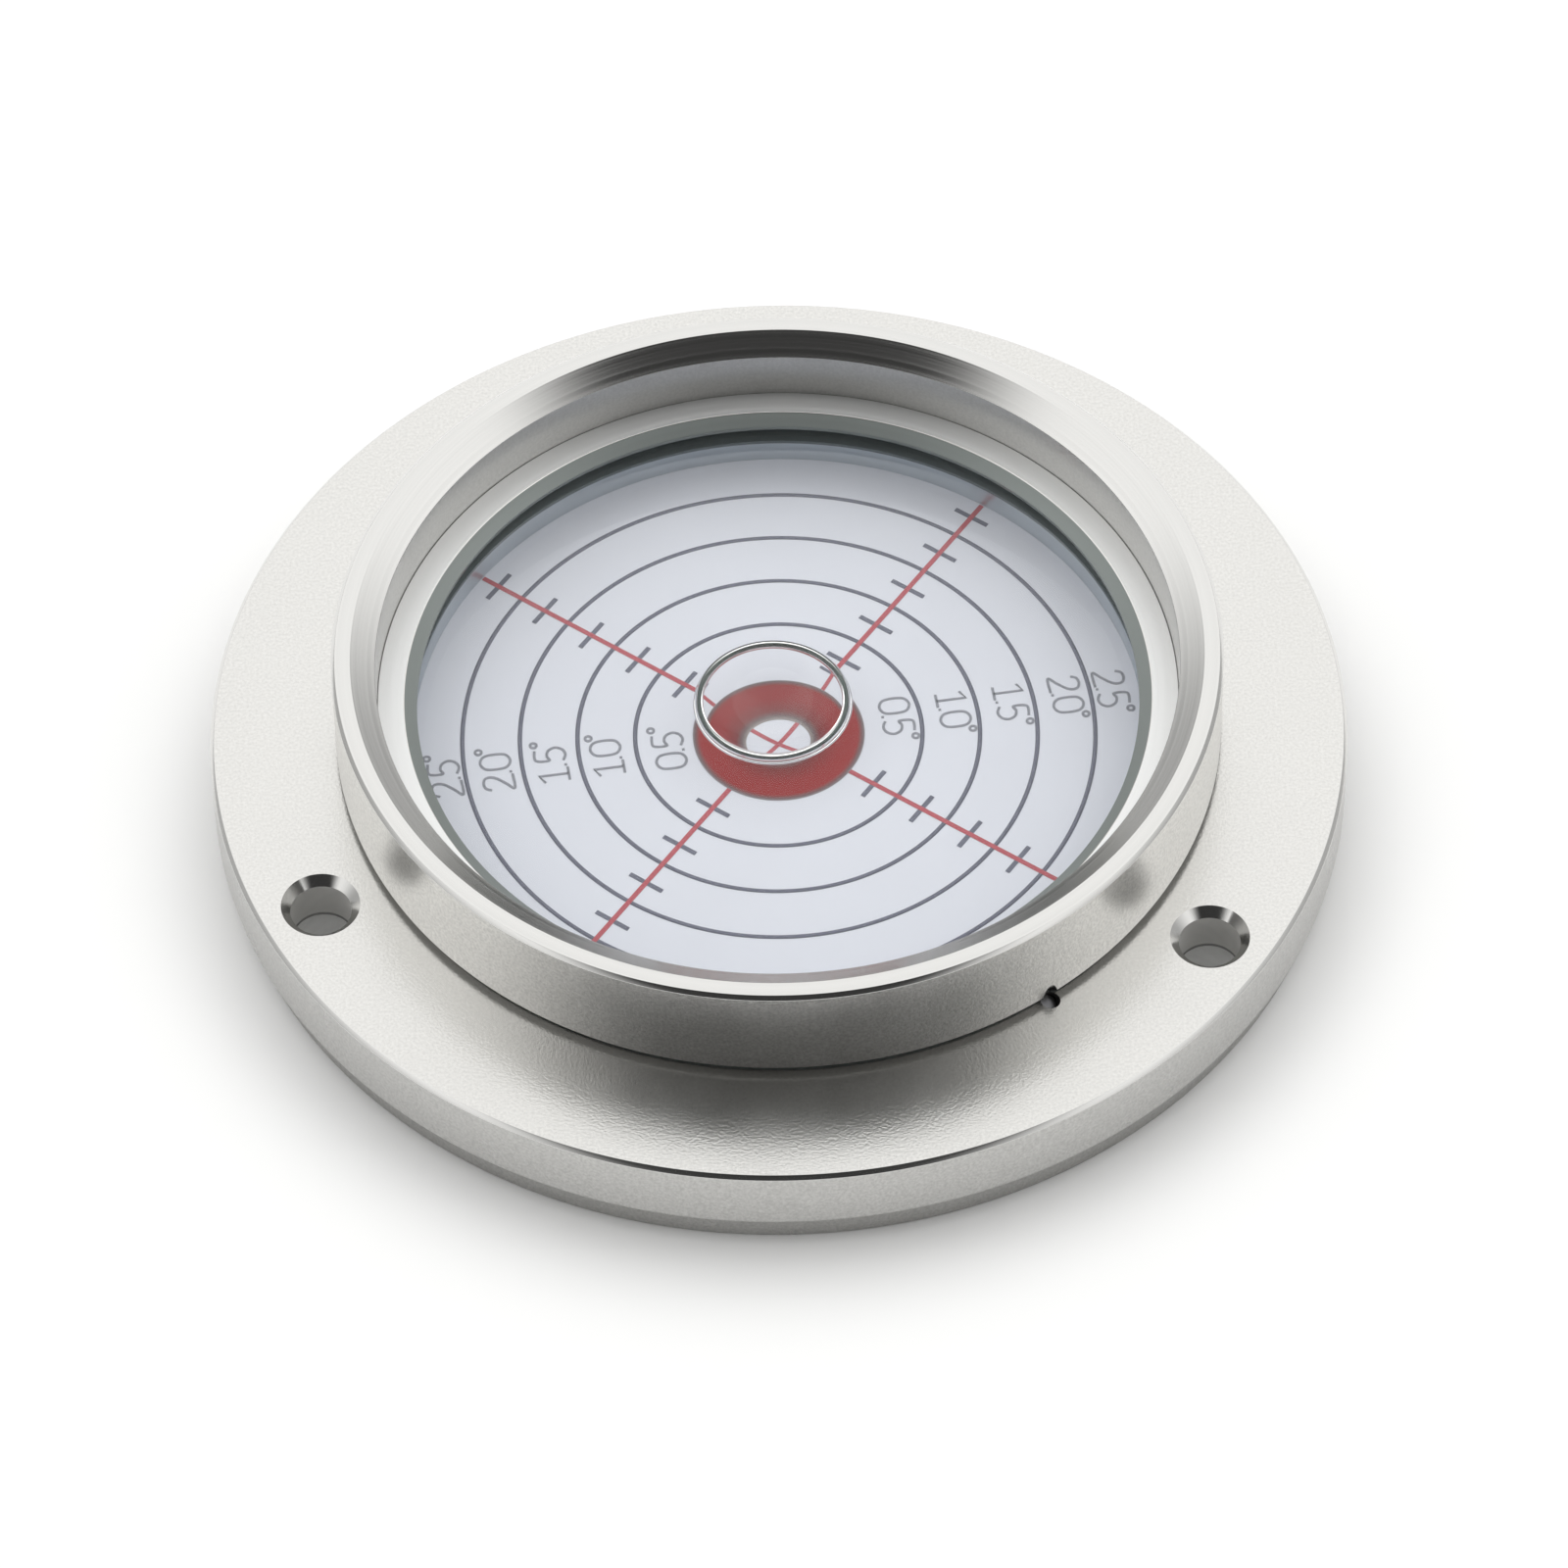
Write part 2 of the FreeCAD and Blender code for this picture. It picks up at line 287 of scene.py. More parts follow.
def new_piece(name, mesh):
    """Object for a mesh, linked to the scene."""
    piece = bpy.data.objects.new(name, mesh)
    bpy.context.scene.collection.objects.link(piece)
    return piece


def turned(name, corners, steps=TURNING_STEPS, turn_centre=(0.0, 0.0)):
    """Closed turned mesh from an anticlockwise outline of corners."""
    outline = rounded(corners)
    names = list(dict.fromkeys(finish for _, _, finish in outline))
    mesh = bpy.data.meshes.new(name)
    for finish in names:
        mesh.materials.append(bpy.data.materials[finish])
    built = bmesh.new()
    middle_x, middle_y = turn_centre
    rings = []
    for radius, height, _ in outline:
        if radius < AXIS_REACH:
            rings.append([built.verts.new((middle_x, middle_y, height))] * steps)
        else:
            places = turned_places(radius, steps)
            rings.append([built.verts.new((middle_x + x, middle_y + y, height)) for x, y in places])
    for index, (_, _, finish) in enumerate(outline):
        low, high = rings[index], rings[(index + 1) % len(rings)]
        if low[0] is low[1] and high[0] is high[1]:
            continue
        for step in range(steps):
            after = (step + 1) % steps
            around = [low[step], low[after], high[after], high[step]]
            face = built.faces.new(list(dict.fromkeys(around)))
            face.material_index = names.index(finish)
    built.to_mesh(mesh)
    built.free()
    return new_piece(name, mesh)


def settle(piece):
    """Replaces a piece's mesh with its evaluated one and removes the modifiers."""
    graph = bpy.context.evaluated_depsgraph_get()
    mesh = bpy.data.meshes.new_from_object(piece.evaluated_get(graph), depsgraph=graph)
    piece.modifiers.clear()
    old = piece.data
    piece.data = mesh
    mesh.name = old.name
    bpy.data.meshes.remove(old)


def cut(piece, tools):
    """Cuts each tool out of a piece, welds what the cuts leave doubled and removes the tools."""
    for tool in tools:
        hole = piece.modifiers.new("cut", "BOOLEAN")
        hole.operation = "DIFFERENCE"
        hole.solver = "EXACT"
        hole.material_mode = "TRANSFER"
        hole.object = tool
    settle(piece)
    welded = bmesh.new()
    welded.from_mesh(piece.data)
    bmesh.ops.remove_doubles(welded, verts=welded.verts, dist=WELD_DISTANCE)
    bmesh.ops.dissolve_degenerate(welded, edges=welded.edges, dist=WELD_DISTANCE)
    welded.to_mesh(piece.data)
    welded.free()
    for tool in tools:
        bpy.data.objects.remove(tool)


def smooth(piece):
    """Smooth shading with sharp corners, weighted so that broad faces stay flat."""
    mesh = piece.data
    mesh.polygons.foreach_set("use_smooth", [True] * len(mesh.polygons))
    mesh.set_sharp_from_angle(angle=SHARP_ANGLE)
    weighted = piece.modifiers.new("weighted", "WEIGHTED_NORMAL")
    weighted.keep_sharp = True
    settle(piece)


def finish_piece(piece, slot, *nodes):
    """Gives a piece its body and hides the pieces of the frame that it stands for. The slot is not used."""
    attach(piece, BODY)
    if nodes:
        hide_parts(*nodes)


# Helpers for node trees


def fill(tree, node, inputs):
    """Sets inputs of a node. An input is a plain value, or the socket that feeds it."""
    for key, value in inputs.items():
        if isinstance(value, NodeSocket):
            tree.links.new(value, node.inputs[key])
        else:
            node.inputs[key].default_value = value


def add_node(tree, kind, inputs=None, **settings):
    """Adds a node with its settings and inputs."""
    made = tree.nodes.new(kind)
    for key, value in settings.items():
        setattr(made, key, value)
    fill(tree, made, inputs or {})
    return made


def maths(tree, operation, *values):
    """Output of a Math node."""
    return add_node(tree, "ShaderNodeMath", dict(enumerate(values)), operation=operation).outputs[0]


def vector(tree, **parts):
    """Output of a Combine XYZ node."""
    return add_node(tree, "ShaderNodeCombineXYZ", parts).outputs[0]


def remap(tree, value, from_low, from_high, to_low, to_high, fade="LINEAR"):
    """Output of a clamped Map Range node."""
    return add_node(tree, "ShaderNodeMapRange", {
        "Value": value, "From Min": from_low, "From Max": from_high, "To Min": to_low, "To Max": to_high,
    }, interpolation_type=fade).outputs["Result"]


def colour_steps(tree, value, steps):
    """Output of a colour ramp with (place, colour) steps."""
    ramp = add_node(tree, "ShaderNodeValToRGB", {"Fac": value})
    elements = ramp.color_ramp.elements
    while len(elements) < len(steps):
        elements.new(1.0)
    for element, (place, colour) in zip(elements, steps):
        element.position = place
        element.color = (*colour, 1.0)
    return ramp.outputs["Color"]


def new_group(name, kind, inputs, outputs):
    """Node group with named sockets. Returns the group, its input node and its output node."""
    group = bpy.data.node_groups.new(name, kind)
    for socket, socket_type, default in inputs:
        made = group.interface.new_socket(name=socket, in_out="INPUT", socket_type=socket_type)
        if default is not None:
            made.default_value = default
    for socket, socket_type in outputs:
        group.interface.new_socket(name=socket, in_out="OUTPUT", socket_type=socket_type)
    return group, group.nodes.new("NodeGroupInput"), group.nodes.new("NodeGroupOutput")


def effect_group(name, inputs, outputs):
    """Empty shader group with plain numbers in and out, and the place that is shaded."""
    group, given, result = new_group(
        name, "ShaderNodeTree", [(socket, "NodeSocketFloat", default) for socket, default in inputs],
        [(socket, "NodeSocketFloat") for socket in outputs])
    return group, given.outputs, result, add_node(group, "ShaderNodeTexCoord").outputs["Object"]


# Effects that several finishes share


# Range that most of a noise's values lie in
NOISE = (0.3, 0.7)
# Gloss of dial and print
SATIN_GLOSS = {"Roughness": 0.5, "Specular IOR Level": 0.15}


def axis_distance(tree, place):
    """Distance of a point from the turning axis, and its parts."""
    parts = add_node(tree, "ShaderNodeSeparateXYZ", {"Vector": place}).outputs
    squares = maths(tree, "ADD", maths(tree, "POWER", parts["X"], 2.0), maths(tree, "POWER", parts["Y"], 2.0))
    return maths(tree, "SQRT", squares), parts


def make_bead_blast():
    """Fine even grain that blasting leaves, with a soft mottle over it."""
    group, given, result, place = effect_group(
        "bead_blast", [("Grain Size", 0.24 * MM), ("Mottle Size", 6 * MM)], ["Height", "Mottle"])
    grain = add_node(group, "ShaderNodeTexNoise", {
        "Vector": place, "Scale": maths(group, "DIVIDE", 1.0, given["Grain Size"]), "Detail": 2.0,
        "Roughness": 0.6})
    mottle = add_node(group, "ShaderNodeTexNoise", {
        "Vector": place, "Scale": maths(group, "DIVIDE", 1.0, given["Mottle Size"]), "Detail": 3.0})
    fill(group, result, {"Height": grain.outputs["Fac"], "Mottle": mottle.outputs["Fac"]})


def make_turning_lines():
    """Concentric tool lines, on flats and walls alike."""
    group, given, result, place = effect_group("turning_lines", [("Pitch", 0.08 * MM)], ["Height", "Streak"])
    radius, parts = axis_distance(group, place)
    fine = maths(group, "DIVIDE", maths(group, "ADD", radius, parts["Z"]), given["Pitch"])
    lines_per_streak = 9.0
    for socket, along in (("Height", fine), ("Streak", maths(group, "DIVIDE", fine, lines_per_streak))):
        lines = add_node(group, "ShaderNodeTexNoise", {"W": along, "Scale": 1.0, "Detail": 2.0},
                         noise_dimensions="1D")
        fill(group, result, {socket: lines.outputs["Fac"]})


# Finishes


def new_finish(name):
    """Material with a Principled shader. Returns its tree and the shader."""
    material = bpy.data.materials.new(name)
    material.use_nodes = True
    tree = material.node_tree
    return tree, tree.nodes["Principled BSDF"]


def use_group(tree, name, **inputs):
    """Outputs of one of the shared effects, placed with its own values."""
    made = add_node(tree, "ShaderNodeGroup", node_tree=bpy.data.node_groups[name])
    fill(tree, made, {key.replace("_", " ").title(): value for key, value in inputs.items()})
    return made.outputs


def bumped(tree, height, depth):
    """Normal of a bump of a real depth."""
    return add_node(tree, "ShaderNodeBump", {"Height": height, "Distance": depth}).outputs["Normal"]


def dimmed(colour, share):
    """A colour with less or more light."""
    return [part * share for part in colour]


def tinted(tree, colour, factor, low, high):
    """A colour made darker or lighter by a factor."""
    shade = remap(tree, factor, *NOISE, low, high)
    grey = add_node(tree, "ShaderNodeCombineColor", {"Red": shade, "Green": shade, "Blue": shade})
    mixed = add_node(tree, "ShaderNodeMix", {"Factor": 1.0}, data_type="RGBA", blend_type="MULTIPLY")
    fill(tree, mixed, {"A": (*colour, 1.0), "B": grey.outputs["Color"]})
    return next(socket for socket in mixed.outputs if socket.type == "RGBA" and socket.enabled)


def blasted_finish(name, colour, roughness, grain_depth, grain_shades):
    """Bead-blasted and anodised aluminium. Its pits are a little darker than its peaks."""
    tree, shader = new_finish(name)
    blast = use_group(tree, "bead_blast")
    fill(tree, shader, {
        "Metallic": 1.0,
        "Roughness": remap(tree, blast["Mottle"], *NOISE, roughness - 0.02, roughness + 0.02),
        "Base Color": tinted(tree, colour, blast["Height"], *grain_shades),
        "Normal": bumped(tree, blast["Height"], grain_depth)})


def cut_finish(name, colour, roughness, pitch, line_depth, metal=1.0):
    """Turned metal with tool lines. Less metal where a matt skin covers it."""
    tree, shader = new_finish(name)
    lines = use_group(tree, "turning_lines", pitch=pitch)
    fill(tree, shader, {
        "Metallic": metal,
        "Roughness": remap(tree, lines["Streak"], *NOISE, roughness * 0.8, roughness * 1.25),
        "Base Color": tinted(tree, colour, lines["Streak"], 0.95, 1.02),
        "Normal": bumped(tree, lines["Height"], line_depth)})


def rubber_finish(name, colour):
    """Matt rubber with a fine moulded grain."""
    tree, shader = new_finish(name)
    blast = use_group(tree, "bead_blast", grain_size=0.05 * MM)
    fill(tree, shader, {
        "Roughness": 0.75,
        "Base Color": tinted(tree, colour, blast["Height"], 0.8, 1.2),
        "Normal": bumped(tree, blast["Height"], 0.004 * MM)})


def clear_finish(name, colour, ior, shine=1.0):
    """Clear glass or liquid that lets soft light through. Shine is low where glass meets liquid."""
    tree, shader = new_finish(name)
    smudge = use_group(tree, "bead_blast", mottle_size=14 * MM)
    fill(tree, shader, {
        "Base Color": (*colour, 1.0), "Metallic": 0.0, "Transmission Weight": 1.0, "IOR": ior,
        "Specular Tint": (shine, shine, shine, 1.0),
        "Roughness": remap(tree, smudge["Mottle"], 0.45, 0.75, 0.0, 0.012)})
    path = add_node(tree, "ShaderNodeLightPath").outputs
    soft = maths(tree, "MAXIMUM", path["Is Shadow Ray"], path["Is Diffuse Ray"])
    through = add_node(tree, "ShaderNodeBsdfTransparent", {"Color": (*colour, 1.0)})
    mixed = add_node(tree, "ShaderNodeMixShader", {0: soft, 1: shader.outputs[0], 2: through.outputs[0]})
    fill(tree, tree.nodes["Material Output"], {"Surface": mixed.outputs[0]})


def painted_reflection_rim_finish(name, bubble_place, painted_crest, edge):
    """Curved edge of liquid as a bright mirror, with a painted dark reflection along its crest, which leans
    to the front.
    """
    tree, shader = new_finish(name)
    coordinates = add_node(tree, "ShaderNodeTexCoord").outputs
    centred = add_node(tree, "ShaderNodeVectorMath", {
        0: coordinates["Object"], 1: (*bubble_place, 0.0)}, operation="SUBTRACT").outputs["Vector"]
    radius, parts = axis_distance(tree, centred)
    lean = math.radians(39)
    towards = add_node(tree, "ShaderNodeVectorMath", {
        0: coordinates["Normal"], 1: (0.0, -math.sin(lean), math.cos(lean))},
        operation="DOT_PRODUCT").outputs["Value"]
    along = maths(tree, "MULTIPLY", maths(tree, "DIVIDE", parts["X"], radius), math.sin(lean))
    reach = maths(tree, "SQRT", maths(tree, "SUBTRACT", 1.0, maths(tree, "POWER", along, 2.0)))
    # Painted reflection: the crest colour goes where the normal faces up and towards the front, the edge
    # colour elsewhere.
    shade = colour_steps(tree, maths(tree, "DIVIDE", towards, reach), [(0.82, edge), (0.93, painted_crest)])
    smudge = use_group(tree, "bead_blast", mottle_size=3 * MM)
    fill(tree, shader, {
        "Metallic": 1.0, "Base Color": shade,
        "Roughness": remap(tree, smudge["Mottle"], *NOISE, 0.08, 0.14)})


def dial_finish(name, colour):
    """Satin white of the dial."""
    tree, shader = new_finish(name)
    blast = use_group(tree, "bead_blast", grain_size=0.12 * MM, mottle_size=9 * MM)
    fill(tree, shader, {
        **SATIN_GLOSS,
        "Base Color": tinted(tree, colour, blast["Mottle"], 0.985, 1.01),
        "Normal": bumped(tree, blast["Height"], 0.002 * MM)})


def print_finish(name, colour):
    """Printed line whose ink is slightly uneven."""
    tree, shader = new_finish(name)
    blast = use_group(tree, "bead_blast", grain_size=0.15 * MM)
    fill(tree, shader, {
        **SATIN_GLOSS,
        "Base Color": tinted(tree, colour, blast["Height"], 0.85, 1.15)})


def centre_ring_finish(name, colour, scale):
    """Red ring with soft dark borders; its red is painted darker towards the hole and brighter in the middle,
    as the shade and highlight of a rounded ring.
    """
    tree, shader = new_finish(name)
    radius, _ = axis_distance(tree, add_node(tree, "ShaderNodeTexCoord").outputs["Object"])
    across = remap(tree, radius, scale.zero_hole, scale.zero_radius, 0.0, 1.0)
    border = (0.13, 0.085, 0.09)
    blast = use_group(tree, "bead_blast", grain_size=0.15 * MM)
    fill(tree, shader, {
        **SATIN_GLOSS,
        # Painted shade and highlight across the ring: dark red towards the hole, full red in the middle.
        "Base Color": colour_steps(tree, across, [
            (0.0, (0.30, 0.27, 0.26)), (0.09, border), (0.22, dimmed(colour, 0.62)), (0.55, colour),
            (0.86, colour), (0.96, border), (1.0, (0.27, 0.24, 0.26))]),
        "Normal": bumped(tree, blast["Height"], 0.002 * MM)})


def make_finishes(colours, scale, optic):
    """All effects and finishes."""
    make_bead_blast()
    make_turning_lines()
    aluminium = colours.aluminium
    bright = colours.bright_cut
    # Painted light and shade: the shares make lit and shaded copies of one aluminium, darker on the flange's
    # wall, darkest on the toe under its overhang, darker in the collar's bore and lighter on the collar's
    # wall.
    # Name, share of the aluminium's colour, roughness, grain's depth in millimetres, shades of pits and peaks
    for name, share, roughness, depth, shades in (
            ("blasted_top", 1.0, 0.25, 0.017, (0.92, 1.05)),
            ("blasted_wall", 0.76, 0.29, 0.020, (0.86, 1.11)),
            ("toe_wall", 0.62, 0.29, 0.020, (0.86, 1.11)),
            ("collar_wall", 1.08, 0.31, 0.020, (0.84, 1.12)),
            ("satin_bore", 0.78, 0.30, 0.012, (0.92, 1.05))):
        blasted_finish(name, dimmed(aluminium, share), roughness, depth * MM, shades)
    # Name, colour, roughness, tool lines' pitch and depth in millimetres, share of bare metal
    for name, colour, roughness, pitch, depth, metal in (
            ("chamber_wall", (0.60, 0.65, 0.68), 0.42, 0.15, 0.0004, 1.0),
            ("bright_cut", bright, 0.12, 0.07, 0.001, 1.0),
            ("polished_funnel", bright, 0.18, 0.06, 0.0006, 1.0),
            ("rim_flat", bright, 0.22, 0.06, 0.001, 1.0),
            # Painted shade: the drilled bores, the flange's bore in the seam and the screw holes' shadow line
            # get aluminium at 0.4 of its colour.
            ("drilled_bore", dimmed(aluminium, 0.4), 0.40, 0.12, 0.003, 1.0),
            ("turned_underside", aluminium, 0.28, 0.15, 0.003, 1.0),
            # Painted light: the narrow part of a screw hole is pale and mostly without metal, and its pocket
            # near-white and matt, so that they look lit inside the metal.
            ("hole_wall", dimmed(aluminium, 0.9), 0.50, 0.12, 0.002, 0.3),
            ("pocket_wall", (0.97, 0.97, 0.96), 0.60, 0.12, 0.002, 0.0),
            ("ring_satin", (0.87, 0.875, 0.87), 0.42, 0.08, 0.001, 0.75),
            # Painted shade: the retaining ring's inner cone is dark grey-green, far darker than its top.
            ("ring_cone", (0.27, 0.295, 0.285), 0.40, 0.08, 0.002, 0.5),
            # Painted shade: the lock pin's steel is darkened, so that its end looks shaded in its hole.
            ("ground_steel", (0.24, 0.24, 0.25), 0.30, 0.10, 0.001, 1.0),
            # Painted shade: the cut at the collar's foot is aluminium at half its colour.
            ("foot_cut", dimmed(aluminium, 0.5), 0.40, 0.10, 0.002, 0.7),
            ("turned_brass", (0.80, 0.58, 0.28), 0.26, 0.12, 0.002, 1.0)):
        cut_finish(name, colour, roughness, pitch * MM, depth * MM, metal)
    rubber_finish("moulded_rubber", (0.035, 0.045, 0.04))
    rubber_finish("clear_seal", (0.17, 0.195, 0.20))
    clear_finish("polished_glass", colours.glass, 1.5)
    clear_finish("wetted_glass", colours.glass, 1.5, shine=0.0)
    clear_finish("clear_spirit", colours.liquid, 1.4, shine=0.0)
    clear_finish("bubble_wall", colours.liquid, 1.4)
    # The upper rim's near-black crest is a painted dark reflection; the lower rim's crest colour is barely
    # darker than its edge.
    painted_reflection_rim_finish("bubble_upper_rim", optic.bubble_place, (0.05, 0.065, 0.06), (0.93, 0.92, 0.91))
    painted_reflection_rim_finish("bubble_lower_rim", optic.bubble_place, (0.84, 0.82, 0.815), (0.86, 0.84, 0.83))
    dial_finish("satin_white", colours.dial)
    print_finish("grey_ink", colours.print_grey)
    print_finish("numeral_ink", colours.numeral_grey)
    print_finish("red_ink", colours.print_red)
    centre_ring_finish("centre_red", colours.centre_red, scale)


# Geometry node trees


def run_tree(name, tree, values):
    """Plain mesh object that a tree makes with the given inputs."""
    piece = new_piece(name, bpy.data.meshes.new(name))
    grown = piece.modifiers.new("grown", "NODES")
    grown.node_group = tree
    for item in tree.interface.items_tree:
        if item.item_type == "SOCKET" and item.in_out == "INPUT" and item.name in values:
            grown[item.identifier] = values[item.name]
    bpy.context.view_layer.update()
    settle(piece)
    return piece


def print_tree(name, lengths, counts):
    """Empty geometry tree with named sizes, counts and an ink. Returns it, its sizes and its output node."""
    inputs = [(size, "NodeSocketFloat", None) for size in lengths]
    inputs += [(number, "NodeSocketInt", None) for number in counts]
    inputs.append(("Ink", "NodeSocketMaterial", None))
    tree, given, result = new_group(name, "GeometryNodeTree", inputs, [("Geometry", "NodeSocketGeometry")])
    return tree, given.outputs, result


def end_tree(tree, geometry, ink, result):
    """Makes the instances real, gives them their ink and ends the tree."""
    whole = add_node(tree, "GeometryNodeRealizeInstances", {"Geometry": geometry})
    inked = add_node(tree, "GeometryNodeSetMaterial", {"Geometry": whole.outputs[0], "Material": ink})
    fill(tree, result, {"Geometry": inked.outputs[0]})
    return tree


def make_ring_tree():
    """Concentric flat rings at even steps."""
    tree, sizes, result = print_tree(
        "scale_ring_lines", ["First Radius", "Step", "Line Width", "Thickness", "Height"],
        ["Count", "Segments"])
    middle = maths(tree, "MULTIPLY_ADD", sizes["Thickness"], 0.5, sizes["Height"])
    stack = add_node(tree, "GeometryNodeMeshLine", {
        "Count": sizes["Count"], "Start Location": vector(tree, Z=middle), "Offset": (0.0, 0.0, 0.0)})
    index = add_node(tree, "GeometryNodeInputIndex").outputs[0]
    radius = maths(tree, "MULTIPLY_ADD", index, sizes["Step"], sizes["First Radius"])
    circle = add_node(tree, "GeometryNodeCurvePrimitiveCircle", {
        "Resolution": sizes["Segments"], "Radius": 1.0})
    placed = add_node(tree, "GeometryNodeInstanceOnPoints", {
        "Points": stack.outputs["Mesh"], "Instance": circle.outputs["Curve"],
        "Scale": vector(tree, X=radius, Y=radius, Z=1.0)})
    circles = add_node(tree, "GeometryNodeRealizeInstances", {"Geometry": placed.outputs["Instances"]})
    upright = add_node(
        tree, "GeometryNodeSetCurveNormal", {"Curve": circles.outputs["Geometry"]}, mode="Z_UP")
    section = add_node(tree, "GeometryNodeCurvePrimitiveQuadrilateral", {
        "Width": sizes["Line Width"], "Height": sizes["Thickness"]})
    swept = add_node(tree, "GeometryNodeCurveToMesh", {
        "Curve": upright.outputs["Curve"], "Profile Curve": section.outputs["Curve"]})
    return end_tree(tree, swept.outputs["Mesh"], sizes["Ink"], result)


def make_tick_tree():
    """Short bars half way between the rings, on each arm of the cross."""
    tree, sizes, result = print_tree(
        "scale_tick_marks", ["First Radius", "Step", "Arm Angle", "Length", "Width", "Thickness", "Height"],
        ["Count", "Arms"])
    total = maths(tree, "MULTIPLY", sizes["Count"], sizes["Arms"])
    stack = add_node(tree, "GeometryNodeMeshLine", {"Count": total, "Offset": (0.0, 0.0, 0.0)})
    index = add_node(tree, "GeometryNodeInputIndex").outputs[0]
    along = maths(tree, "FLOORED_MODULO", index, sizes["Count"])
    arm = maths(tree, "FLOOR", maths(tree, "DIVIDE", index, sizes["Count"]))
    between = maths(tree, "DIVIDE", 2 * math.pi, sizes["Arms"])
    angle = maths(tree, "MULTIPLY_ADD", arm, between, sizes["Arm Angle"])
    radius = maths(tree, "MULTIPLY_ADD", along, sizes["Step"], sizes["First Radius"])
    place = vector(
        tree, X=maths(tree, "MULTIPLY", radius, maths(tree, "COSINE", angle)),
        Y=maths(tree, "MULTIPLY", radius, maths(tree, "SINE", angle)),
        Z=maths(tree, "MULTIPLY_ADD", sizes["Thickness"], 0.5, sizes["Height"]))
    spread = add_node(tree, "GeometryNodeSetPosition", {"Geometry": stack.outputs["Mesh"], "Position": place})
    size = vector(tree, X=sizes["Width"], Y=sizes["Length"], Z=sizes["Thickness"])
    bar = add_node(tree, "GeometryNodeMeshCube", {"Size": size})
    placed = add_node(tree, "GeometryNodeInstanceOnPoints", {
        "Points": spread.outputs["Geometry"], "Instance": bar.outputs["Mesh"],
        "Rotation": vector(tree, Z=angle)})
    return end_tree(tree, placed.outputs["Instances"], sizes["Ink"], result)


# Pieces


class LEVEL_OT_finishes(Operator):
    """Builds the finishes of all pieces."""

    bl_idname = "level.finishes"
    bl_label = "Finishes"

    def execute(self, context):
        make_finishes(context.scene.level_colours, context.scene.level_scale, context.scene.level_optic)
        return {"FINISHED"}


def pin_cutter(sizes):
    """Drill for the lock pin's hole, down and inwards across the seam."""
    outwards = Vector((math.cos(sizes.pin_angle), math.sin(sizes.pin_angle), 0.0))
    start = outwards * outer_radius("vial_housing") + Vector((0.0, 0.0, FLANGE_TOP))
    down = -outwards * math.sin(sizes.pin_tilt) - Vector((0.0, 0.0, math.cos(sizes.pin_tilt)))
    above = 10 * MM
    drill = turned("pin_drill", even(
        "drilled_bore", (0.0, -above), (sizes.pin_radius, -above), (sizes.pin_radius, sizes.pin_depth),
        (0.0, sizes.pin_depth)), steps=HOLE_STEPS // 2)
    turn = Vector((0.0, 0.0, 1.0)).rotation_difference(down).to_matrix().to_4x4()
    drill.data.transform(Matrix.Translation(start) @ turn)
    return drill


class LEVEL_OT_flange(Operator):
    """Builds the mounting flange with its screw holes."""

    bl_idname = "level.flange"
    bl_label = "Mounting flange"

    def execute(self, context):
        sizes = context.scene.level_flange
        radius = outer_radius("mounting_flange")
        toe = radius - sizes.toe_inset
        toe_rounding = 0.25 * MM
        wall_rounding = 0.35 * MM
        # Painted shade: the toe and the wall take darker copies of the aluminium, and the bore takes the dark
        # drilled finish.
        flange = turned("flange", [
            corner(sizes.bore, 0.0, "turned_underside", UNDER_EDGE, "bright_cut"),
            corner(toe, 0.0, "toe_wall", toe_rounding),
            corner(toe, sizes.toe_height, "turned_underside"),
            corner(radius, sizes.toe_height, "blasted_wall", wall_rounding),
            corner(radius, FLANGE_TOP - sizes.edge_cut, "bright_cut", SOFT_EDGE),
            corner(radius - sizes.edge_cut, FLANGE_TOP, "blasted_top", SOFT_EDGE, "bright_cut"),
            corner(sizes.bore, FLANGE_TOP, "drilled_bore")])
        tools = [pin_cutter(context.scene.level_housing)]
        for place in turned_places(sizes.hole_circle, sizes.hole_count, sizes.hole_angle):
            tools.append(self.hole_cutter(sizes, place))
        cut(flange, tools)
        smooth(flange)
        finish_piece(flange, "flange_metal", "mounting_flange")
        return {"FINISHED"}

    def hole_cutter(self, sizes, place):
        """Drill for one screw hole with its chamfer and its pocket."""
        pocket_top = FLANGE_TOP - sizes.hole_land
        painted_shadow_line = 0.3 * MM
        wide = sizes.hole_radius + sizes.hole_cut + DRILL_REACH
        # Painted light and shade: the pocket and the narrow hole take pale finishes that stand in for light,
        # and a thin band of dark bore at the pocket's top is a painted shadow line.
        outline = even(
            "pocket_wall", (0.0, -DRILL_REACH), (sizes.pocket_radius, -DRILL_REACH),
            (sizes.pocket_radius, pocket_top))
        outline += [
            corner(sizes.hole_radius, pocket_top, "drilled_bore"),
            corner(sizes.hole_radius, pocket_top + painted_shadow_line, "hole_wall")]
        outline += even(
            "bright_cut", (sizes.hole_radius, FLANGE_TOP - sizes.hole_cut), (wide, FLANGE_TOP + DRILL_REACH),
            (0.0, FLANGE_TOP + DRILL_REACH))
        return turned("hole_drill", outline, steps=HOLE_STEPS, turn_centre=place)


